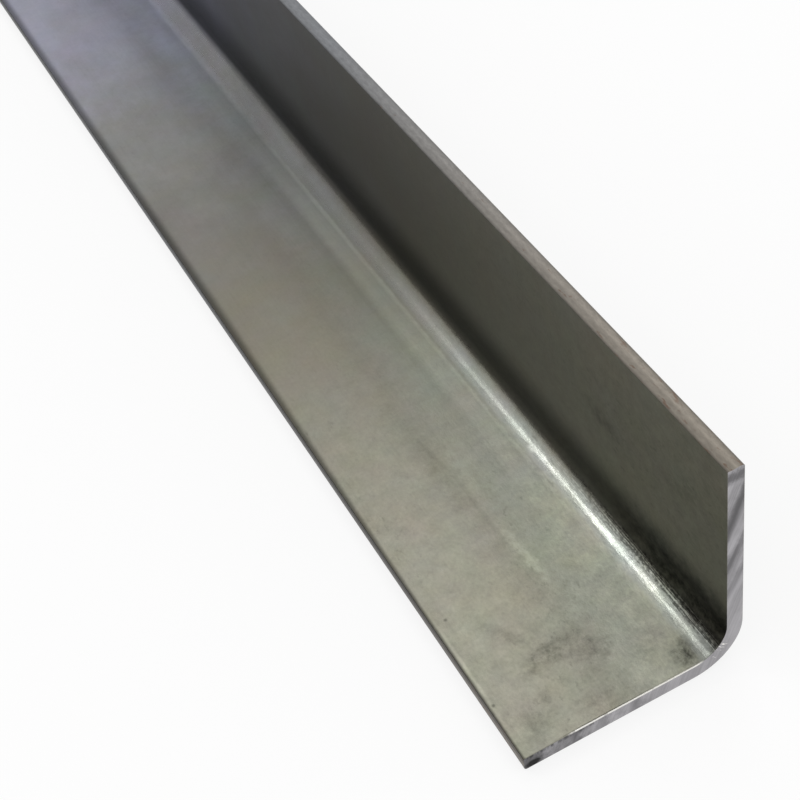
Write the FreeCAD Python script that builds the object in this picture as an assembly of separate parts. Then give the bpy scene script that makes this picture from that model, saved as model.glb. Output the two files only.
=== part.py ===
import FreeCAD, Part
import math
import os

# A length of steel angle, folded from flat strip into two legs at a right angle.
# One leg lies on the ground and the other stands at its right-hand side.
# All sizes are in millimetres.
# The origin is on the ground, under the middle of the bar's length and width.
# X runs across the lying leg, Y along the bar, and Z up.

# Driving dimensions
lying_leg_width = 40.0
upright_leg_height = 45.0
sheet_thickness = 3.0
inner_bend_radius = 6.0
bar_length = 1000.0

# Slitting the strip rounds one arris of each long edge and leaves the other arris sharp.
slit_arris_radius = 0.5

# Places in the section that follow from the driving dimensions
outer_bend_radius = inner_bend_radius + sheet_thickness
toe_x = -lying_leg_width / 2
heel_x = lying_leg_width / 2
upright_inner_x = heel_x - sheet_thickness
bend_x = heel_x - outer_bend_radius
bend_z = outer_bend_radius
near_end_y = -bar_length / 2


def point(x, z):
    """A point of the section, drawn in the plane of the near end."""
    return FreeCAD.Vector(x, near_end_y, z)


def arc_points(centre_x, centre_z, radius, start_degrees, end_degrees):
    """Start, middle and end of an arc, where 0 degrees is towards the heel and 90 is up."""
    middle_degrees = (start_degrees + end_degrees) / 2
    points = []
    for degrees in (start_degrees, middle_degrees, end_degrees):
        across = radius * math.cos(math.radians(degrees))
        up = radius * math.sin(math.radians(degrees))
        points.append(point(centre_x + across, centre_z + up))
    return points


def section():
    """The closed outline of the L, walked from the toe along the underside to the heel and up."""
    roll = slit_arris_radius
    corners = [
        arc_points(toe_x + roll, roll, roll, 180, 270),
        arc_points(bend_x, bend_z, outer_bend_radius, 270, 360),
        arc_points(heel_x - roll, upright_leg_height - roll, roll, 0, 90),
        [point(upright_inner_x, upright_leg_height)],
        arc_points(bend_x, bend_z, inner_bend_radius, 360, 270),
        [point(toe_x, sheet_thickness)],
    ]
    following_corners = corners[1:] + corners[:1]
    edges = []
    for corner, following in zip(corners, following_corners):
        is_round = len(corner) == 3
        if is_round:
            edges.append(Part.Arc(*corner).toShape())
        edges.append(Part.LineSegment(corner[-1], following[0]).toShape())
    return Part.Face(Part.Wire(edges))


def angle_profile():
    """The whole bar: the section carried straight along its length, sawn square at both ends."""
    along_the_bar = FreeCAD.Vector(0, bar_length, 0)
    return section().extrude(along_the_bar)


os.makedirs("parts", exist_ok=True)
angle_profile().exportStep("parts/angle_profile.step")
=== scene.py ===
import math

import bpy
import numpy as np
from mathutils import Matrix, Vector


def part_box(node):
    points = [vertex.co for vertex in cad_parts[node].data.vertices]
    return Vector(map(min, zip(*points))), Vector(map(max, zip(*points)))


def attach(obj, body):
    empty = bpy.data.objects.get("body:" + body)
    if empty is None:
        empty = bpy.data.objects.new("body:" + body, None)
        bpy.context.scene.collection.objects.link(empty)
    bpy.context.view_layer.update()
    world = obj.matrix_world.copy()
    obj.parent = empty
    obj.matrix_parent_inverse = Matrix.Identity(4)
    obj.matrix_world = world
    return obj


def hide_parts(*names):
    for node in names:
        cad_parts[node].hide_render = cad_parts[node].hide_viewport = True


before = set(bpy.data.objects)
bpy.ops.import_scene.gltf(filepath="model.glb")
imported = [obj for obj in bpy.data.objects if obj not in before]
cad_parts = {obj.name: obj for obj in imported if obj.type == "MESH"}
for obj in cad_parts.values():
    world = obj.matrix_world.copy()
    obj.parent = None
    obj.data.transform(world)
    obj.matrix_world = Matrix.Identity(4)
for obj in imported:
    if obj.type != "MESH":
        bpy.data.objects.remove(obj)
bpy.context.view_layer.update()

# A one metre length of folded steel angle, seen from its sawn end.
# Lengths in this script are in millimetres until a mesh, lamp or camera is made, which takes metres.
MM = 0.001

# The strip that the bar is folded from
sheet_thickness = 3.0
inner_bend_radius = 6.0
slit_arris_radius = 0.5
sharp_arris_radius = 0.08
end_arris_radius = 0.08
burr_height = 0.16
burr_reach = 0.2
fracture_relief = 0.05

# A slit edge's torn zone begins and ends between these depths from the outer face
torn_zone_start = (1.0, 1.5)
torn_zone_finish = (2.8, 3.0)

# Colours as they look in plain light, those of the oxide with their place on the way from khaki, at 0,
# to lavender, at 1, a drift along the bar that is partly painted light and shade
drift_colours = [
    (0.0, "#868579"),
    (0.34, "#79766B"),
    (0.55, "#787671"),
    (0.77, "#838382"),
    (1.0, "#9292A0"),
]
bare_steel = "#F4F2EC"
brown_edge = "#807A71"
grey_edge = "#7A7C7F"
rust_brown = "#665347"
saw_dark = "#6E6C6E"
saw_pale = "#A8A6A9"

# What multiplies a colour's red, green and blue. A gain is added to 1 first.
# Painted shade in the corner where the bend meets the upright leg
corner_painted_shade = 0.38
seam_gain = 0.38
rubbed_gain = (0.43, 0.52, 0.68)
# Painted light beside the bend near the ends, and painted shade there further in
pressed_near_painted_light = (1.16, 1.24, 1.32, 1.0)
pressed_far_painted_shade = (0.78, 0.9, 0.98, 1.0)
# Painted shade on the upright leg's inner face, near the ends and further in
upright_near_painted_shade = (0.52, 0.52, 0.51, 1.0)
upright_far_painted_shade = (0.41, 0.42, 0.445, 1.0)
plain_white = (1.0, 1.0, 1.0, 1.0)
unchanged = (1.0, 1.0, 1.0)

# The size of a pattern along an axis on which it doesn't change
endless = math.inf

# Gaps in the saw's burr
burr_gap_size = (1.4, endless, endless)

# How deep a stain reaches, far more than the sheet's thickness
stain_depth = 1000.0

# Sizes that the part's box in model.glb gives
toe_corner, heel_corner = (np.array(corner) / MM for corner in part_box("angle_profile"))
toe_x, near_end_y, ground_z = toe_corner
heel_x, far_end_y, top_z = heel_corner
outer_bend_radius = inner_bend_radius + sheet_thickness
bend_x = heel_x - outer_bend_radius
bend_z = ground_z + outer_bend_radius
lying_flat = bend_x - toe_x
upright_flat = top_z - bend_z
bend_stretch = outer_bend_radius * math.pi / 2
bend_start = lying_flat
bend_finish = lying_flat + bend_stretch
strip_width = bend_finish + upright_flat
bar_length = far_end_y - near_end_y


def smooth_step(values, low, high):
    """0 below low and 1 above high, with the cubic 3t^2 - 2t^3 between."""
    t = np.clip((values - low) / (high - low), 0, 1)
    return t * t * (3 - 2 * t)


def ripple(values, wavelengths, phases):
    """An even irregularity from -1 to 1: the mean of sines with these wavelengths and phases."""
    waves = [np.sin(2 * math.pi * values / length + phase) for length, phase in zip(wavelengths, phases)]
    return np.mean(waves, axis=0)


def round_inset(distance, radius):
    """How far a rounded arris falls back at a distance from the corner: r - sqrt(r^2 - (r - distance)^2)."""
    reach = np.clip(radius - distance, 0, radius)
    return radius - np.sqrt(radius**2 - reach**2)


def stretch_samples():
    """Places across the strip, from the toe to the top edge: close at the edges and round the bend."""
    flat_places = 18
    bend_places = 29
    edge = np.array([0.0, 0.12, 0.3, 0.55, 0.9, 1.4])
    lying = np.linspace(edge[-1], bend_start, flat_places)
    bend = np.linspace(bend_start, bend_finish, bend_places)
    upright = np.linspace(bend_finish, strip_width - edge[-1], flat_places)
    return np.concatenate([edge[:-1], lying[:-1], bend[:-1], upright[:-1], (strip_width - edge)[::-1]])


def depth_samples():
    """Places through the thickness, from the outer face to the inner: close at both arrises."""
    arris_places = 7
    middle_places = 9
    outer = slit_arris_radius * (1 - np.cos(np.linspace(0, math.pi / 2, arris_places)))
    middle = np.linspace(outer[-1], sheet_thickness - sharp_arris_radius, middle_places)
    inner = sheet_thickness - sharp_arris_radius * np.array([0.5, 0.15, 0.0])
    return np.concatenate([outer[:-1], middle, inner])


def length_samples():
    """Places along the bar, from its near end: close at the sawn ends and every 4 mm between."""
    middle_places = 250
    end = np.array([0.0, 0.02, 0.05, 0.09, 0.14, 0.2, 0.28, 0.4, 0.6, 0.9, 1.4, 2.1, 3.0, 4.5])
    middle = np.linspace(end[-1], bar_length - end[-1], middle_places)
    return np.concatenate([end[:-1], middle[:-1], (bar_length - end)[::-1]])


def sheet_surface(stretch, depth, along):
    """The bar as a function of its unrolled sheet.

    A flat place (stretch across the strip, depth through it, along the bar) is laid on the lying leg
    up to the bend's start, turned about the bend's centre by an angle that grows evenly from 0 to 90
    degrees, and laid up the upright leg after it. Before that the edges take their relief: both slit
    edges fall back by the arris rounding and a little more where the steel broke, and at the sawn
    ends the faces fall back by a small rounding and the lying leg's upper face rises into a burr.
    """
    from_end = np.minimum(along, bar_length - along)

    # Slit edges: rounded outer arris, sharp inner arris, and the torn zone between them
    torn = smooth_step(depth, *torn_zone_start) * (1 - smooth_step(depth, *torn_zone_finish))
    tearing = 1 + 0.5 * ripple(along, (7.3, 13.1, 29.0, 61.0), (0.4, 2.1, 1.0, 3.3))
    edge_inset = round_inset(depth, slit_arris_radius) + fracture_relief * torn * tearing
    edge_inset = edge_inset + round_inset(sheet_thickness - depth, sharp_arris_radius)
    edge_blend = 2.0
    toe_share = np.clip(1 - stretch / edge_blend, 0, 1)
    top_share = np.clip(1 - (strip_width - stretch) / edge_blend, 0, 1)
    stretch = stretch + edge_inset * (toe_share - top_share)

    # Sawn ends: each face falls back to the arris, except where the saw left a burr
    through = depth / sheet_thickness
    end_inset = round_inset(from_end, end_arris_radius)
    past_toe = smooth_step(stretch, 3.0, 12.0)
    before_bend = 1 - smooth_step(stretch, bend_start - 1, bend_start + 3)
    ragged = 0.75 + 0.35 * ripple(stretch, (0.9, 1.7, 3.1, 7.7), (0.3, 1.9, 4.0, 2.2))
    burr = burr_height * past_toe * before_bend * ragged * np.exp(-((from_end / burr_reach) ** 2))
    inner_face = smooth_step(through, 0.9, 1.0)
    depth = depth + end_inset * (1 - 2 * through) + burr * inner_face

    # Folding
    turn = np.clip((stretch - bend_start) / bend_stretch, 0, 1) * math.pi / 2
    lying_run = np.minimum(stretch, bend_start)
    upright_run = np.maximum(stretch - bend_finish, 0)
    radius = outer_bend_radius - depth
    x = toe_x + lying_run + radius * np.sin(turn)
    z = bend_z - radius * np.cos(turn) + upright_run
    return np.stack([x, near_end_y + along, z], -1)


def bar_mesh():
    """A closed mesh of the six sides of the unrolled block, in metres, with its unrolled place kept.

    The block has one grid of places on each side. Sides that meet share the vertices of their edge.
    Material 0 is on the two rolled faces, 1 on the two slit edges and 2 on the two sawn ends.
    """
    stretch, depth, along = stretch_samples(), depth_samples(), length_samples()
    counts = (len(stretch), len(depth), len(along))
    numbers = np.arange(np.prod(counts)).reshape(counts)
    sides = [
        (numbers[:, 0, :], 0, False),
        (numbers[:, -1, :], 0, True),
        (numbers[0, :, :], 1, True),
        (numbers[-1, :, :], 1, False),
        (numbers[:, :, 0], 2, True),
        (numbers[:, :, -1], 2, False),
    ]
    quads, kinds = [], []
    for grid, kind, turned in sides:
        corners = [grid[:-1, :-1], grid[1:, :-1], grid[1:, 1:], grid[:-1, 1:]]
        side = np.stack([corner.ravel() for corner in corners], -1)
        quads.append(side[:, ::-1] if turned else side)
        kinds.append(np.full(len(side), kind))
    quads = np.concatenate(quads)
    used, places = np.unique(quads, return_inverse=True)
    i, j, k = np.unravel_index(used, counts)
    flat_place = np.stack([stretch[i], depth[j], along[k]], -1)
    points = sheet_surface(*flat_place.T) * MM

    mesh = bpy.data.meshes.new("angle_profile_bar")
    mesh.from_pydata(points, [], places.reshape(quads.shape))
    mesh.polygons.foreach_set("material_index", np.concatenate(kinds).astype(np.int32))
    mesh.polygons.foreach_set("use_smooth", np.ones(len(quads), bool))
    sheet_place = mesh.attributes.new("sheet_place", "FLOAT_VECTOR", "POINT")
    sheet_place.data.foreach_set("vector", flat_place[:, [0, 2, 1]].astype(np.float32).ravel())
    mesh.update()
    mesh.set_sharp_from_angle(angle=math.radians(40))
    return mesh


def linear(code):
    """An sRGB hex colour as the linear colour that the shaders take."""
    values = [int(code[k : k + 2], 16) / 255 for k in (1, 3, 5)]
    return tuple(v / 12.92 if v <= 0.04045 else ((v + 0.055) / 1.055) ** 2.4 for v in values) + (1.0,)


def add(tree, kind, inputs=None, **settings):
    """Adds a node with its settings. inputs gives each socket a value, or the output that feeds it."""
    made = tree.nodes.new("ShaderNode" + kind)
    for name, value in settings.items():
        setattr(made, name, value)
    for socket, value in (inputs or {}).items():
        if isinstance(value, bpy.types.NodeSocket):
            tree.links.new(value, made.inputs[socket])
        else:
            made.inputs[socket].default_value = value
    return made


def empty_material(name):
    """A material with nothing in its node tree, and the tree."""
    material = bpy.data.materials.new(name)
    material.use_nodes = True
    material.node_tree.nodes.clear()
    return material, material.node_tree


def span(low, high, to_low=0.0, to_high=1.0):
    """The inputs of a map from low..high to to_low..to_high."""
    return {"From Min": low, "From Max": high, "To Min": to_low, "To Max": to_high}


def product(tree, *factors):
    """The product of several values or outputs."""
    total = factors[0]
    for factor in factors[1:]:
        total = add(tree, "Math", {0: total, 1: factor}, operation="MULTIPLY").outputs[0]
    return total


def band(tree, value, low, high, low_blend, high_blend):
    """1 between low and high, falling softly to 0 over the blends outside them."""
    rising = {"Value": value, **span(low - low_blend, low)}
    falling = {"Value": value, **span(high, high + high_blend, 1.0, 0.0)}
    rise = add(tree, "MapRange", rising, interpolation_type="SMOOTHSTEP")
    fall = add(tree, "MapRange", falling, interpolation_type="SMOOTHSTEP")
    return product(tree, rise.outputs[0], fall.outputs[0])


def patches(tree, place, sizes, turn_degrees=0.0, **noise):
    """Noise about 0.5, whose patches have these sizes in millimetres along the place's three axes.

    noise gives the texture its Detail, Roughness or Distortion.
    """
    scale = tuple(1 / size for size in sizes)
    turn = (0, 0, math.radians(turn_degrees))
    scaled = add(tree, "Mapping", {"Vector": place, "Rotation": turn, "Scale": scale})
    return add(tree, "TexNoise", {"Vector": scaled.outputs[0], "Scale": 1.0, **noise}).outputs["Fac"]


def stains(tree, place, marks):
    """The sum of soft ovals. Each is (across, along, half width, half length, turn, amount) in the place."""
    total = 0.0
    for across, along, half_width, half_length, turn_degrees, amount in marks:
        oval_place = {
            "Vector": place,
            "Location": (across, along, 0),
            "Rotation": (0, 0, math.radians(turn_degrees)),
            "Scale": (half_width, half_length, stain_depth),
        }
        oval = add(tree, "Mapping", oval_place, vector_type="TEXTURE")
        distance = add(tree, "VectorMath", {0: oval.outputs[0]}, operation="LENGTH").outputs["Value"]
        fading = {"Value": distance, **span(0.1, 1.0, amount, 0.0)}
        mark = add(tree, "MapRange", fading, interpolation_type="SMOOTHSTEP")
        total = add(tree, "Math", {0: total, 1: mark.outputs[0]}, operation="ADD").outputs[0]
    return total


# The wave in which the strip's colour drifts, which is partly painted light and shade, and where it
# fades and to what share, which is beyond the stretch that the photograph shows
drift_length = 560.0
drift_fade_start = 290.0
drift_fade_finish = 430.0
drift_left = 0.6


def partly_painted_drift(tree, along):
    """How far the strip's colour has drifted from khaki, at 0, to lavender, at 1: partly the oxide, partly
    painted light and shade along the bar.

    It is a sine wave along the bar, which reaches 1 at its first crest and stays lower after it.
    """
    turns = {0: along, 1: 2 * math.pi / drift_length, 2: -math.pi / 2}
    wave = add(tree, "Math", turns, operation="MULTIPLY_ADD")
    wave = add(tree, "Math", {0: wave.outputs[0]}, operation="SINE")
    drift = add(tree, "MapRange", {"Value": wave.outputs[0], **span(-1.0, 1.0)}).outputs[0]
    fade = span(drift_fade_start, drift_fade_finish, 1.0, drift_left)
    fading = add(tree, "MapRange", {"Value": along, **fade}).outputs[0]
    return product(tree, drift, fading)


def distance_from_end(tree, along):
    """The distance along the bar from the nearer sawn end."""
    other_end = add(tree, "Math", {0: bar_length, 1: along}, operation="SUBTRACT").outputs[0]
    return add(tree, "Math", {0: along, 1: other_end}, operation="MINIMUM").outputs[0]


def burr_rags(tree, place):
    """Where the saw's burr is, along the lying leg's upper arris: 1, broken by gaps of a few millimetres."""
    across = add(tree, "SeparateXYZ", {0: place}).outputs[0]
    rags = patches(tree, place, burr_gap_size, Detail=3.0)
    rags = add(tree, "MapRange", {"Value": rags, **span(0.3, 0.44)}).outputs[0]
    return product(tree, rags, band(tree, across, 9.5, bend_start + 1.0, 2.0, 2.0))


# Patterns on the mill finish: their size across the strip, along it and through it.
# The pickled grain and the rolling lines of real steel are finer, and these are as coarse as the eye
# needs to find them in the picture.
cloud_size = (13.0, 21.0, 5.0)
rolling_line_size = (0.5, 40.0, 1.0)
grain_size = (0.55, 0.8, 1.0)
mottle_size = (3.0, 3.0, 3.0)
fleck_size = (1.1, 2.0, 1.0)
fleck_turn_degrees = 30.0
rub_line_size = (0.3, 12.0, 1.0)
rub_line_turn_degrees = 3.0
dent_size = (1.2, 3.2, 1.0)
tint_size = 9.0
tint_low = (0.93, 0.94, 0.895)
tint_swing = (0.14, 0.12, 0.2)
ragged_size = 2.2
ragged_shift = (3.6, 6.0, 0.0)
noise_middle = (0.5, 0.5, 0.5)

# How high the relief of the mill finish stands, and how rough it is
grain_relief = 0.03
dent_relief = 0.045
rolling_relief = 0.006
rub_relief = 0.012
lying_roughness = 0.36
upright_roughness = 0.5
pressed_roughness = 0.55
rubbed_roughness_low = 0.21
rubbed_roughness_high = 0.29

# Marks on the rolled faces near the sawn ends, in millimetres and degrees:
# across the strip from its toe, along it from its end, half width, half length, turn, amount
dark_marks = [
    (13.0, 14.5, 7.5, 3.0, 12.0, 0.28),
    (19.5, 12.0, 5.5, 4.5, -30.0, 0.2),
    (9.5, 21.0, 2.0, 6.0, 35.0, 0.14),
    (5.0, 4.5, 4.0, 3.5, 30.0, 0.13),
    (9.0, 7.5, 3.0, 1.8, -20.0, 0.12),
    (15.0, 3.0, 4.0, 1.6, 10.0, 0.12),
    (31.5, 3.0, 3.5, 4.5, -25.0, 0.5),
    (25.5, 5.5, 3.0, 3.5, 20.0, 0.14),
    (29.5, 9.0, 3.0, 5.0, 15.0, 0.12),
    (29.0, 22.0, 2.5, 8.0, 0.0, 0.14),
    (16.6, 60.0, 3.0, 24.0, 1.0, 0.07),
    (62.0, 34.0, 3.0, 9.0, -8.0, 0.25),
    (66.0, 12.0, 4.0, 9.0, 20.0, 0.12),
    (44.0, 8.0, 8.5, 36.0, 0.0, 0.62),
]
pale_marks = [
    (20.4, 34.0, 1.4, 11.0, 3.0, 0.3),
    (20.8, 56.0, 1.5, 12.0, -2.0, 0.1),
    (24.0, 5.0, 4.0, 6.0, 0.0, 0.08),
    (30.0, 34.0, 5.0, 50.0, 0.0, 0.35),
]

# Thin marks in the same order, pale where the amount is over 0: a painted highlight along the toe's arris,
# a handling scratch in two lengths, two pits by the toe, and a nick where the rubbed strip begins
thin_marks = [
    (0.75, 19.0, 0.45, 16.0, 0.0, 0.24),
    (18.8, 47.5, 0.8, 11.0, 0.0, -0.1),
    (17.9, 63.0, 0.8, 10.0, 7.0, -0.12),
    (2.5, 29.4, 0.5, 0.5, 0.0, -0.5),
    (0.9, 10.8, 0.45, 0.5, 0.0, -0.6),
    (34.2, 53.7, 0.8, 1.6, 0.0, 0.4),
]

# Smudges and saw bands on the sawn ends, where the second number is the depth from the outer face.
# The long ones cross the whole edge, and on the upright leg all but the topmost lean with the blade.
end_smudges = [
    (0.0, 1.5, 5.0, 60.0, 0.0, 0.5),
    (1.6, 0.8, 2.0, 1.3, 0.0, 0.68),
    (7.0, 1.5, 10.0, 60.0, 0.0, 0.27),
    (9.5, 1.5, 1.4, 60.0, 0.0, 0.3),
    (14.5, 1.5, 1.2, 60.0, 0.0, 0.22),
    (20.5, 1.5, 1.8, 60.0, 0.0, 0.36),
    (55.9, 1.5, 1.4, 60.0, 60.0, 0.36),
    (62.3, 1.5, 1.6, 60.0, 60.0, 0.48),
    (71.6, 1.5, 1.5, 60.0, 69.0, 0.6),
    (79.6, 1.5, 1.9, 60.0, 0.0, 0.6),
]


def oxide_colour_with_painted_drift(tree, along, cloud, inside):
    """The oxide's colour, which drifts along the strip, partly as painted light and shade, and wanders with
    the clouds.

    It drifts less on the outer face.
    """
    wander = add(tree, "MapRange", {"Value": cloud, **span(0.3, 0.7, -0.07, 0.07)}).outputs[0]
    drift_share = add(tree, "MapRange", {"Value": inside, **span(0.0, 1.0, 0.65, 1.0)}).outputs[0]
    drift = product(tree, partly_painted_drift(tree, along), drift_share)
    drift = add(tree, "Math", {0: drift, 1: wander}, operation="ADD").outputs[0]
    ramp = add(tree, "ValToRGB", {0: drift})
    stops = ramp.color_ramp.elements
    for inner_stop in drift_colours[1:-1]:
        stops.new(inner_stop[0])
    for stop, (position, code) in zip(stops, drift_colours):
        stop.position = position
        stop.color = linear(code)
    return ramp.outputs[0]


def patch_tint(tree, place):
    """Patches of about 9 mm that are a little yellower, greener or pinker than the rest."""
    hues = add(tree, "TexNoise", {"Vector": place, "Scale": 1 / tint_size, "Detail": 4.0, "Roughness": 0.6})
    tint = {0: hues.outputs["Color"], 1: tint_swing, 2: tint_low}
    return add(tree, "VectorMath", tint, operation="MULTIPLY_ADD").outputs[0]


def skin_light(tree, place, from_end, cloud, lines, grain, grained, mottle):
    """How light the skin is: its clouds, rolling lines and grain, its mottling, and its dark flecks.

    The mottling and the flecks are stronger near the sawn ends, and the flecks keep to dark clouds.
    """
    cloud_light = add(tree, "MapRange", {"Value": cloud, **span(0.3, 0.7, 0.95, 1.05)}).outputs[0]
    line_light = add(tree, "MapRange", {"Value": lines, **span(0.3, 0.7, 0.98, 1.02)}).outputs[0]
    grain_swing = add(tree, "MapRange", {"Value": grain, **span(0.32, 0.68, -0.06, 0.06)}).outputs[0]
    grain_light = {0: grain_swing, 1: grained, 2: 1.0}
    grain_light = add(tree, "Math", grain_light, operation="MULTIPLY_ADD").outputs[0]
    mottled = add(tree, "MapRange", {"Value": from_end, **span(10.0, 110.0, 1.0, 0.25)}).outputs[0]
    mottle_swing = add(tree, "MapRange", {"Value": mottle, **span(0.35, 0.65, -0.14, 0.14)}).outputs[0]
    mottle_light = {0: mottle_swing, 1: mottled, 2: 1.0}
    mottle_light = add(tree, "Math", mottle_light, operation="MULTIPLY_ADD").outputs[0]
    flecks = patches(tree, place, fleck_size, fleck_turn_degrees, Detail=3.0, Roughness=0.6)
    flecks = add(tree, "MapRange", {"Value": flecks, **span(0.58, 0.7)}).outputs[0]
    dark_clouds = add(tree, "MapRange", {"Value": cloud, **span(0.42, 0.56, 1.0, 0.1)}).outputs[0]
    flecks = product(tree, flecks, dark_clouds, mottled)
    fleck_light = add(tree, "MapRange", {"Value": flecks, **span(0.0, 1.0, 1.0, 0.72)}).outputs[0]
    return product(tree, cloud_light, line_light, grain_light, mottle_light, fleck_light)


def ragged_place(tree, place):
    """The place on the sheet shifted by noise, so that whatever is drawn with it has a ragged rim."""
    shift = {"Vector": place, "Scale": 1 / ragged_size, "Detail": 6.0, "Roughness": 0.8}
    shift = add(tree, "TexNoise", shift).outputs["Color"]
    shift = add(tree, "VectorMath", {0: shift, 1: noise_middle}, operation="SUBTRACT").outputs[0]
    shifted = {0: shift, 1: ragged_shift, 2: place}
    return add(tree, "VectorMath", shifted, operation="MULTIPLY_ADD").outputs[0]


def mark_light(tree, place, ragged, mottle, inside):
    """How light the stains and thin marks leave the inner face; one thin mark is a painted highlight on the
    toe's arris. Mottling breaks the dark stains up.
    """
    spotty = add(tree, "MapRange", {"Value": mottle, **span(0.38, 0.62, 1.7, 0.3)}).outputs[0]
    dark = product(tree, stains(tree, ragged, dark_marks), spotty, inside)
    pale = product(tree, stains(tree, ragged, pale_marks), inside)
    thin = product(tree, stains(tree, place, thin_marks), inside)
    light = add(tree, "Math", {0: pale, 1: dark}, operation="SUBTRACT").outputs[0]
    light = add(tree, "Math", {0: light, 1: thin}, operation="ADD").outputs[0]
    return add(tree, "Math", {0: light, 1: 1.0}, operation="ADD").outputs[0]


def painted_corner_shade(tree, across, from_end, inside):
    """Painted shade in the corner, from the bend's middle to a few millimetres up the upright leg.

    It lies lower near the sawn ends than it does further in.
    """
    rise = add(tree, "MapRange", {"Value": from_end, **span(20.0, 180.0, -1.6, 0.9)}).outputs[0]
    lowered = add(tree, "Math", {0: across, 1: rise}, operation="SUBTRACT").outputs[0]
    corner_shade_band = product(tree, band(tree, lowered, bend_start + 10.2, bend_finish + 1.0, 2.6, 9.0), inside)
    return add(tree, "MapRange", {"Value": corner_shade_band, **span(0.0, 1.0, 1.0, corner_painted_shade)}).outputs[0]


def toe_arris_painted_shade(tree, across, from_end, inside):
    """The toe's arris, darkened by painted shade, and wider away from the ends."""
    reach = add(tree, "MapRange", {"Value": from_end, **span(20.0, 120.0, 0.5, 2.2)}).outputs[0]
    run = add(tree, "Math", {0: across, 1: reach}, operation="DIVIDE").outputs[0]
    fading = {"Value": run, **span(0.1, 1.0, 0.35, 1.0)}
    light = add(tree, "MapRange", fading, interpolation_type="SMOOTHSTEP").outputs[0]
    return add(tree, "Mix", {0: inside, 2: 1.0, 3: light}).outputs[0]


def bend_painted_shade(tree, across, from_end, inside):
    """The bend, which painted shade makes darker away from the ends, and for the last few millimetres before
    them.
    """
    bent = product(tree, band(tree, across, bend_start + 3.0, bend_start + 8.8, 3.0, 1.0), inside)
    far_light = add(tree, "MapRange", {"Value": from_end, **span(55.0, 115.0, 1.0, 0.68)}).outputs[0]
    end_light = add(tree, "MapRange", {"Value": from_end, **span(2.0, 15.0, 0.6, 1.0)}).outputs[0]
    return add(tree, "Mix", {0: bent, 2: 1.0, 3: product(tree, far_light, end_light)}).outputs[0]


def pressed_and_painted_light_strip(tree, ragged_across, from_end, pressed_fade, inside):
    """Where the folding tool pressed the strip beside the bend, which makes it rougher and carries painted
    light near the ends and painted shade further in. Near the ends it is wider.
    """
    wide = band(tree, ragged_across, bend_start - 5.0, bend_start + 0.6, 9.0, 2.4)
    wide = product(tree, wide, pressed_fade)
    narrow_fade = add(tree, "MapRange", {"Value": from_end, **span(50.0, 210.0, 1.0, 0.5)}).outputs[0]
    narrow = band(tree, ragged_across, bend_start - 1.5, bend_start + 0.5, 8.0, 3.0)
    narrow = product(tree, narrow, narrow_fade)
    pressed_and_painted_light = add(tree, "Math", {0: wide, 1: narrow}, operation="MAXIMUM").outputs[0]
    return product(tree, pressed_and_painted_light, inside)


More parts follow.
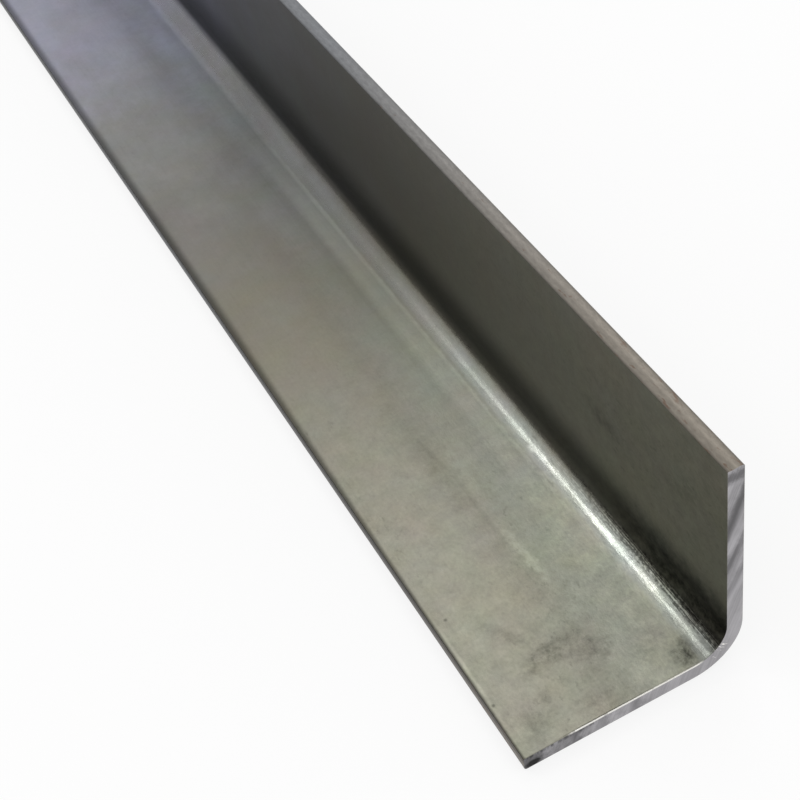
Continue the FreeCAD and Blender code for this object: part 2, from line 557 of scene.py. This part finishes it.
def mill_steel():
    """Mild steel strip, hot rolled, pickled and lightly oiled, then folded.

    The eye gets a satin grey that drifts between khaki and lavender over a hand's width, a drift that
    is partly painted light and shade, clouds of about 15 mm, a fine pickled grain, fine lines along the
    rolling direction, and stains and thin marks near the sawn ends, one of them a painted highlight on
    the toe's arris, which also has painted shade. Beside the bend the folding tool pressed the skin
    rougher, with painted light there near the ends and painted shade further in. Inside the bend the
    tool rubbed the steel smoother and barer, with dents and rub lines along it, and painted shade
    darkens the bend away from the ends, the corner where it meets the upright leg, and that leg's
    inner face.
    """
    material, tree = empty_material("mill_steel")
    place = add(tree, "Attribute", attribute_name="sheet_place").outputs["Vector"]
    across, along, through = add(tree, "SeparateXYZ", {0: place}).outputs
    from_end = distance_from_end(tree, along)
    inside = add(tree, "MapRange", {"Value": through, **span(2.0, 2.5)}).outputs[0]
    ragged = ragged_place(tree, place)
    ragged_across = add(tree, "SeparateXYZ", {0: ragged}).outputs[0]

    # Patterns
    cloud = patches(tree, place, cloud_size, Detail=6.0, Roughness=0.6)
    lines = patches(tree, place, rolling_line_size, Detail=3.0)
    grain = patches(tree, place, grain_size, Detail=4.0, Roughness=0.6)
    mottle = patches(tree, place, mottle_size, Detail=7.0, Roughness=0.75)
    dents = patches(tree, place, dent_size, Detail=1.5)
    rub_lines = patches(tree, place, rub_line_size, rub_line_turn_degrees, Detail=2.0, Roughness=0.5)
    rub_lines = add(tree, "Math", {0: rub_lines, 1: grain}, operation="ADD").outputs[0]
    rub_lines = add(tree, "Math", {0: rub_lines, 1: 0.5}, operation="MULTIPLY").outputs[0]

    # Where each finish is, from 0 to 1
    grained = add(tree, "MapRange", {"Value": from_end, **span(30.0, 130.0, 1.0, 0.35)}).outputs[0]
    far_share = add(tree, "MapRange", {"Value": from_end, **span(30.0, 110.0)}).outputs[0]
    pressed_fade = add(tree, "MapRange", {"Value": from_end, **span(80.0, 200.0, 1.0, 0.0)}).outputs[0]
    pressed_and_painted_light = pressed_and_painted_light_strip(tree, ragged_across, from_end, pressed_fade, inside)
    seam = band(tree, across, bend_start - 2.2, bend_start + 0.9, 2.4, 1.0)
    seam = product(tree, seam, band(tree, from_end, 85.0, 130.0, 40.0, 50.0), inside)
    rubbed = band(tree, ragged_across, bend_start + 3.6, bend_start + 6.5, 2.2, 4.5)
    rubbed = product(tree, rubbed, inside)
    bare = band(tree, ragged_across, bend_start + 3.6, bend_start + 5.0, 2.2, 3.4)
    bare = product(tree, bare, inside)
    rub_wear = add(tree, "MapRange", {"Value": from_end, **span(22.0, 48.0, 1.0, 0.0)}).outputs[0]
    rub_lined = band(tree, ragged_across, bend_start + 6.2, bend_start + 8.2, 0.9, 0.9)
    rub_lined = product(tree, rub_lined, rub_wear, inside)
    upright = product(tree, band(tree, across, bend_finish - 3.0, strip_width, 3.0, 1.0), inside)

    # Light and dark, which work on the colour alike in red, green and blue: the skin and its marks, and
    # painted shade in the corner, along the toe's arris and on the bend
    rub_line_light = add(tree, "MapRange", {"Value": rub_lines, **span(0.46, 0.6, 0.35, 1.7)}).outputs[0]
    rub_line_light = add(tree, "Mix", {0: rub_lined, 2: 1.0, 3: rub_line_light}).outputs[0]
    seam_light = add(tree, "Math", {0: seam, 1: seam_gain, 2: 1.0}, operation="MULTIPLY_ADD").outputs[0]
    light = product(
        tree,
        skin_light(tree, place, from_end, cloud, lines, grain, grained, mottle),
        mark_light(tree, place, ragged, mottle, inside),
        painted_corner_shade(tree, across, from_end, inside),
        toe_arris_painted_shade(tree, across, from_end, inside),
        rub_line_light,
        bend_painted_shade(tree, across, from_end, inside),
        seam_light,
    )

    # Light and dark that also turn the colour cooler or warmer: painted shade on the upright leg, painted
    # light and shade on the pressed strip, and the rubbed bare metal
    # Painted shade on the upright leg's inner face, a little cooler further in
    upright_painted_shade = {0: far_share, 6: upright_near_painted_shade, 7: upright_far_painted_shade}
    upright_painted_shade = add(tree, "Mix", upright_painted_shade, data_type="RGBA").outputs[2]
    upright_painted_shade_factor = {0: upright, 6: plain_white, 7: upright_painted_shade}
    upright_painted_shade_factor = add(tree, "Mix", upright_painted_shade_factor, data_type="RGBA").outputs[2]
    # Painted light on the pressed strip near the ends, and painted shade on it further in
    pressed_painted_light = {0: far_share, 6: pressed_near_painted_light, 7: pressed_far_painted_shade}
    pressed_painted_light = add(tree, "Mix", pressed_painted_light, data_type="RGBA").outputs[2]
    pressed_painted_light_factor = {0: pressed_painted_light, 1: pressed_and_painted_light, 2: unchanged}
    pressed_painted_light_factor = add(tree, "VectorMath", pressed_painted_light_factor, operation="MULTIPLY_ADD").outputs[0]
    bare_light = {0: rubbed_gain, 1: product(tree, bare, pressed_fade), 2: unchanged}
    bare_light = add(tree, "VectorMath", bare_light, operation="MULTIPLY_ADD").outputs[0]
    shaded = oxide_colour_with_painted_drift(tree, along, cloud, inside)
    for factor in (light, patch_tint(tree, place), upright_painted_shade_factor, pressed_painted_light_factor, bare_light):
        shaded = add(tree, "VectorMath", {0: shaded, 1: factor}, operation="MULTIPLY").outputs[0]

    # Bare metal on the burr that the saw raised
    burr = add(tree, "MapRange", {"Value": from_end, **span(0.1, 0.2, 1.0, 0.0)}).outputs[0]
    burr = product(tree, burr, burr_rags(tree, place), inside)
    colour = add(tree, "Mix", {0: burr, 6: shaded, 7: linear(bare_steel)}, data_type="RGBA").outputs[2]

    rough_flat = span(0.0, 1.0, lying_roughness, upright_roughness)
    rough_flat = add(tree, "MapRange", {"Value": upright, **rough_flat}).outputs[0]
    rough_flat = add(tree, "Mix", {0: pressed_and_painted_light, 2: rough_flat, 3: pressed_roughness}).outputs[0]
    rough_rubbed = span(0.35, 0.65, rubbed_roughness_low, rubbed_roughness_high)
    rough_rubbed = add(tree, "MapRange", {"Value": rub_lines, **rough_rubbed}).outputs[0]
    roughness = add(tree, "Mix", {0: rubbed, 2: rough_flat, 3: rough_rubbed}).outputs[0]

    # Relief: the grain, lower where the bend is rubbed, and on it the dents, rolling lines and rub lines
    rubbed_grain = add(tree, "MapRange", {"Value": rubbed, **span(0.0, 1.0, 1.0, 0.55)}).outputs[0]
    grain_strength = product(tree, grained, rubbed_grain)
    dent_strength = product(tree, rubbed, grained)
    bump = {"Height": grain, "Distance": grain_relief * MM, "Strength": grain_strength}
    bump = add(tree, "Bump", bump).outputs[0]
    layers = [
        (dents, dent_relief, dent_strength),
        (lines, rolling_relief, 1.0),
        (rub_lines, rub_relief, rub_lined),
    ]
    for height, depth, strength in layers:
        layer = {"Height": height, "Distance": depth * MM, "Strength": strength, "Normal": bump}
        bump = add(tree, "Bump", layer).outputs[0]
    finish = {"Base Color": colour, "Metallic": 1.0, "Roughness": roughness, "Normal": bump}
    shader = add(tree, "BsdfPrincipled", finish)
    add(tree, "OutputMaterial", {"Surface": shader.outputs[0]})
    return material


# Patterns on the slit edges: their size across the strip, along it and through it
torn_edge_size = (1.0, 1.6, 0.5)
rust_size = (1.0, 3.5, 0.9)
torn_edge_relief = 0.05
cut_roughness = 0.4
torn_roughness = 0.55


def slit_steel():
    """The edge where the strip was slit: a smooth cut zone by the rounded arris, then a torn zone.

    The eye gets a brownish grey, lighter and smoother in the cut zone, rough and darker beyond it,
    with rust specks near the end in the photograph. The toe's edge is the darker one, most of all in
    its lower half and away from the end, which is painted shade, and both edges have painted shade by
    the outer face. The brown turns grey along the bar with the partly painted drift.
    """
    material, tree = empty_material("slit_steel")
    place = add(tree, "Attribute", attribute_name="sheet_place").outputs["Vector"]
    across, along, through = add(tree, "SeparateXYZ", {0: place}).outputs
    from_end = distance_from_end(tree, along)
    # The edge's colour follows the drift, which is partly painted light and shade
    drift = add(tree, "MapRange", {"Value": partly_painted_drift(tree, along), **span(0.0, 0.45)}).outputs[0]
    edge_colours = {0: drift, 6: linear(brown_edge), 7: linear(grey_edge)}
    colour = add(tree, "Mix", edge_colours, data_type="RGBA").outputs[2]

    torn = patches(tree, place, torn_edge_size, Detail=5.0, Roughness=0.65)
    torn_light = add(tree, "MapRange", {"Value": torn, **span(0.3, 0.7, 0.85, 1.15)}).outputs[0]
    zone = add(tree, "MapRange", {"Value": through, **span(1.3, 1.9)}).outputs[0]
    # The torn zone is darker, and on the toe's edge darker still, which is painted shade
    torn_share = add(tree, "MapRange", {"Value": across, **span(5.0, 30.0, 0.4, 0.98)}).outputs[0]
    zone_light = add(tree, "Mix", {0: zone, 2: 1.0, 3: torn_share}).outputs[0]
    # Painted shade on the toe's edge, most in its lower half and away from the end, and on both edges by the
    # outer face
    toe_share = add(tree, "MapRange", {"Value": across, **span(5.0, 30.0, 1.0, 0.0)}).outputs[0]
    toe_painted_shade = add(tree, "MapRange", {"Value": from_end, **span(3.0, 40.0, 1.15, 0.56)}).outputs[0]
    toe_lower_painted_shade = add(tree, "MapRange", {"Value": through, **span(0.2, 1.9, 0.5, 1.0)}).outputs[0]
    toe_painted_shade = add(tree, "Mix", {0: toe_share, 2: 1.0, 3: product(tree, toe_painted_shade, toe_lower_painted_shade)}).outputs[0]
    outer_arris_painted_shade = add(tree, "MapRange", {"Value": through, **span(0.2, 1.4, 0.82, 1.0)}).outputs[0]
    inner_light = add(tree, "MapRange", {"Value": through, **span(2.5, 2.95, 1.0, 0.55)}).outputs[0]
    light = product(tree, zone_light, torn_light, toe_painted_shade, outer_arris_painted_shade, inner_light)
    shaded = add(tree, "VectorMath", {0: colour, 1: light}, operation="MULTIPLY").outputs[0]

    rust = patches(tree, place, rust_size, Detail=4.0, Roughness=0.6)
    near_end = add(tree, "MapRange", {"Value": along, **span(5.0, 70.0, 0.1, 0.0)}).outputs[0]
    rust = add(tree, "Math", {0: rust, 1: near_end}, operation="ADD").outputs[0]
    rust = add(tree, "MapRange", {"Value": rust, **span(0.66, 0.74, 0.0, 0.75)}).outputs[0]
    rusted = add(tree, "Mix", {0: rust, 6: shaded, 7: linear(rust_brown)}, data_type="RGBA").outputs[2]

    roughness = span(0.0, 1.0, cut_roughness, torn_roughness)
    roughness = add(tree, "MapRange", {"Value": zone, **roughness}).outputs[0]
    bump = add(tree, "Bump", {"Height": torn, "Distance": torn_edge_relief * MM, "Strength": 0.7}).outputs[0]
    finish = {"Base Color": rusted, "Metallic": 1.0, "Roughness": roughness, "Normal": bump}
    shader = add(tree, "BsdfPrincipled", finish)
    add(tree, "OutputMaterial", {"Surface": shader.outputs[0]})
    return material


# Patterns on the sawn ends. The saw bands and lines lean with the blade, and their size is given across
# them, along the bar and along them. The nicks and flecks are given across the strip, along it and
# through it.
saw_lean_degrees = 21.0
saw_band_size = (2.7, 50.0, 15.0)
saw_line_size = (0.28, 50.0, 12.0)
saw_line_relief = 0.015
blotch_size = (1.8, 1.8, 1.8)
nick_size = (0.9, endless, endless)
torn_fleck_size = (0.45, endless, 1.6)
sawn_roughness = 0.38


def saw_smudges(tree, across, depth, blotch):
    """How dark the smudges and the placed saw bands are, with edges that waver by up to 0.6 mm."""
    waver = add(tree, "MapRange", {"Value": blotch, **span(0.3, 0.7, -0.6, 0.6)}).outputs[0]
    wavering = add(tree, "Math", {0: across, 1: waver}, operation="ADD").outputs[0]
    end_place = add(tree, "CombineXYZ", {0: wavering, 1: depth}).outputs[0]
    return stains(tree, end_place, end_smudges)


def sawn_steel():
    """The end as the bandsaw left it: new metal, with marks that lean 21 degrees from upright.

    The eye gets a light lavender grey with faint bands of 2 to 3 mm and fine lines along them, a few
    darker bands where the blade chattered, blotches and dark smudges by the toe, and bright metal
    where the burr stands and where the blade tore at the bend.
    """
    material, tree = empty_material("sawn_steel")
    place = add(tree, "TexCoord").outputs["Object"]
    place = add(tree, "Mapping", {"Vector": place, "Scale": (1 / MM, 1 / MM, 1 / MM)}).outputs[0]
    lean = (0, -math.radians(saw_lean_degrees), 0)
    leaning = add(tree, "Mapping", {"Vector": place, "Rotation": lean}).outputs[0]
    height = add(tree, "SeparateXYZ", {0: place}).outputs[2]
    sheet_place = add(tree, "Attribute", attribute_name="sheet_place").outputs["Vector"]
    sheet = add(tree, "SeparateXYZ", {0: sheet_place}).outputs
    across = sheet[0]
    depth = sheet[2]

    # Faint bands, stronger on the upright leg
    bands = patches(tree, leaning, saw_band_size, Detail=2.0, Distortion=0.2)
    dark_share = add(tree, "MapRange", {"Value": bands, **span(0.45, 0.56, 1.0, 0.0)}).outputs[0]
    banded = add(tree, "MapRange", {"Value": height, **span(10.0, 20.0, 0.2, 0.35)}).outputs[0]
    saw_colours = {0: product(tree, dark_share, banded), 6: linear(saw_pale), 7: linear(saw_dark)}
    colour = add(tree, "Mix", saw_colours, data_type="RGBA").outputs[2]

    # Fine lines, blotches near the toe, and smudges
    lines = patches(tree, leaning, saw_line_size, Detail=3.0)
    line_light = add(tree, "MapRange", {"Value": lines, **span(0.3, 0.7, 0.88, 1.12)}).outputs[0]
    blotch = patches(tree, place, blotch_size, Detail=5.0, Roughness=0.75)
    blotched = add(tree, "MapRange", {"Value": across, **span(8.0, 28.0, 0.34, 0.06)}).outputs[0]
    blotch_swing = add(tree, "MapRange", {"Value": blotch, **span(0.36, 0.58, -1.0, 0.3)}).outputs[0]
    blotch_light = {0: blotch_swing, 1: blotched, 2: 1.0}
    blotch_light = add(tree, "Math", blotch_light, operation="MULTIPLY_ADD").outputs[0]
    smudge_light = {0: 1.0, 1: saw_smudges(tree, across, depth, blotch)}
    smudge_light = add(tree, "Math", smudge_light, operation="SUBTRACT").outputs[0]

    # Dark nicks in the upper arris near the toe, where the burr has broken off
    nicks = patches(tree, sheet_place, nick_size, Detail=2.0)
    nicks = add(tree, "MapRange", {"Value": nicks, **span(0.46, 0.56)}).outputs[0]
    by_toe = band(tree, across, 0.0, 11.0, 1.0, 6.0)
    by_arris = band(tree, depth, 2.75, 3.1, 0.7, 0.1)
    nicks = product(tree, nicks, by_toe, by_arris)
    nick_light = add(tree, "MapRange", {"Value": nicks, **span(0.0, 1.0, 1.0, 0.35)}).outputs[0]
    light = product(tree, line_light, blotch_light, smudge_light, nick_light)
    shaded = add(tree, "VectorMath", {0: colour, 1: light}, operation="MULTIPLY").outputs[0]

    # Bright metal on the burr's lip, and in flecks where the blade tore at the bend
    lip = product(tree, band(tree, depth, 2.86, 3.1, 0.08, 0.1), burr_rags(tree, sheet_place))
    torn = patches(tree, sheet_place, torn_fleck_size, Detail=2.0)
    torn = add(tree, "MapRange", {"Value": torn, **span(0.59, 0.65)}).outputs[0]
    in_bend = band(tree, across, bend_start + 4.5, bend_start + 8.5, 1.0, 1.0)
    in_upper_half = band(tree, depth, 1.9, 3.1, 0.9, 0.1)
    torn = product(tree, torn, in_bend, in_upper_half)
    bright = add(tree, "Math", {0: lip, 1: torn}, operation="MAXIMUM").outputs[0]
    colour = add(tree, "Mix", {0: bright, 6: shaded, 7: linear(bare_steel)}, data_type="RGBA").outputs[2]

    bump = {"Height": lines, "Distance": saw_line_relief * MM, "Strength": 1.0}
    bump = add(tree, "Bump", bump).outputs[0]
    finish = {"Base Color": colour, "Metallic": 1.0, "Roughness": sawn_roughness, "Normal": bump}
    shader = add(tree, "BsdfPrincipled", finish)
    add(tree, "OutputMaterial", {"Surface": shader.outputs[0]})
    return material


def make_bar():
    """The bar's detailed surface in place of the plain solid."""
    mesh = bar_mesh()
    for finish in (mill_steel(), slit_steel(), sawn_steel()):
        mesh.materials.append(finish)
    bar = bpy.data.objects.new("angle_profile_bar", mesh)
    bpy.context.scene.collection.objects.link(bar)
    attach(bar, "root")
    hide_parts("angle_profile")


# The studio. A soft box is (name, place, aim, width, height, radiance), with a radiance of 1 where it is
# as bright as a plain white world. The first puts the bright streak into the bend, and the second is
# what the lying leg mirrors near the end in the photograph.
floor_size = 40000.0
floor_gap = 0.1
floor_grey = "#F6F6F6"
floor_white_share = 0.8
world_light = 0.95
card_grey = "#303030"
card_x = -620.0
card_front_y = -900.0
card_back_y = 480.0
card_height = 140.0
soft_boxes = [
    ("streak_softbox", (-592.0, 264.0, 940.0), (12.0, -480.0, 4.0), 175.0, 140.0, 10.2),
    ("front_softbox", (380.0, 280.0, 1080.0), (0.0, -480.0, 3.0), 520.0, 420.0, 1.6),
]


def white_share(tree):
    """1 for the rays that should see the background as white: camera, glossy and transmission rays."""
    rays = add(tree, "LightPath").outputs
    seen = {0: rays["Is Camera Ray"], 1: rays["Is Glossy Ray"]}
    seen = add(tree, "Math", seen, operation="MAXIMUM").outputs[0]
    return add(tree, "Math", {0: seen, 1: rays["Is Transmission Ray"]}, operation="MAXIMUM").outputs[0]


def make_floor():
    """A wide pale floor. It shows as white, but a fifth of what it shows is lit, so the shadow stays."""
    half = floor_size / 2 * MM
    level = -floor_gap * MM
    corners = [(-half, -half, level), (half, -half, level), (half, half, level), (-half, half, level)]
    mesh = bpy.data.meshes.new("floor")
    mesh.from_pydata(corners, [], [(0, 1, 2, 3)])
    material, tree = empty_material("pale_floor")
    lit = add(tree, "BsdfDiffuse", {"Color": linear(floor_grey)})
    white = add(tree, "Emission", {"Color": plain_white, "Strength": 1.0})
    share = product(tree, white_share(tree), floor_white_share)
    mixed = add(tree, "MixShader", {0: share, 1: lit.outputs[0], 2: white.outputs[0]})
    add(tree, "OutputMaterial", {"Surface": mixed.outputs[0]})
    mesh.materials.append(material)
    floor = bpy.data.objects.new("floor", mesh)
    bpy.context.scene.collection.objects.link(floor)


def make_world():
    """White where it is seen, and a soft even light from all round."""
    world = bpy.data.worlds.new("studio")
    bpy.context.scene.world = world
    world.use_nodes = True
    tree = world.node_tree
    tree.nodes.clear()
    strength = add(tree, "MapRange", {"Value": white_share(tree), "To Min": world_light, "To Max": 1.0})
    background = add(tree, "Background", {"Color": plain_white, "Strength": strength.outputs[0]})
    add(tree, "OutputWorld", {"Surface": background.outputs[0]})


def aimed(place, aim, roll_degrees=0.0):
    """The matrix of a lamp or camera at a place, pointed at aim and turned about that line."""
    place = Vector([length * MM for length in place])
    aim = Vector([length * MM for length in aim])
    turn = (aim - place).to_track_quat("-Z", "Y").to_matrix().to_4x4()
    return Matrix.Translation(place) @ turn @ Matrix.Rotation(math.radians(roll_degrees), 4, "Z")


def make_lamp(name, place, aim, width, height, radiance):
    """A soft box, whose power is pi times its area times its radiance."""
    data = bpy.data.lights.new(name, "AREA")
    data.shape = "RECTANGLE"
    data.size = width * MM
    data.size_y = height * MM
    data.energy = math.pi * data.size * data.size_y * radiance
    lamp = bpy.data.objects.new(name, data)
    bpy.context.scene.collection.objects.link(lamp)
    lamp.matrix_world = aimed(place, aim)


def make_dark_card():
    """A card of dark matt cloth beside the bar, so that its inner faces have something dark to reflect."""
    foot = [(card_x, card_front_y, 0.0), (card_x, card_back_y, 0.0)]
    head = [(card_x, card_back_y, card_height), (card_x, card_front_y, card_height)]
    mesh = bpy.data.meshes.new("dark_card")
    mesh.from_pydata(np.array(foot + head) * MM, [], [(0, 1, 2, 3)])
    material, tree = empty_material("dark_card_cloth")
    cloth = add(tree, "BsdfDiffuse", {"Color": linear(card_grey)})
    add(tree, "OutputMaterial", {"Surface": cloth.outputs[0]})
    mesh.materials.append(material)
    card = bpy.data.objects.new("dark_card", mesh)
    bpy.context.scene.collection.objects.link(card)
    card.visible_camera = False
    card.visible_shadow = False
    card.visible_diffuse = False


# The camera, worked out from the bar's edges in the photograph
camera_place = (-71.92, -624.79, 220.07)
camera_aim = (0.48, -418.86, 0.0)
camera_roll_degrees = -11.315
camera_lens = 74.044
camera_sensor = 36.0
camera_clip_start = 10.0


def make_camera():
    """The camera at the photograph's viewing angle."""
    data = bpy.data.cameras.new("camera")
    data.sensor_width = camera_sensor
    data.lens = camera_lens
    data.clip_start = camera_clip_start * MM
    camera = bpy.data.objects.new("camera", data)
    bpy.context.scene.collection.objects.link(camera)
    camera.matrix_world = aimed(camera_place, camera_aim, camera_roll_degrees)
    bpy.context.scene.camera = camera


make_bar()
make_floor()
make_world()
make_dark_card()
for soft_box in soft_boxes:
    make_lamp(*soft_box)
make_camera()
bpy.context.scene.view_settings.view_transform = "Standard"
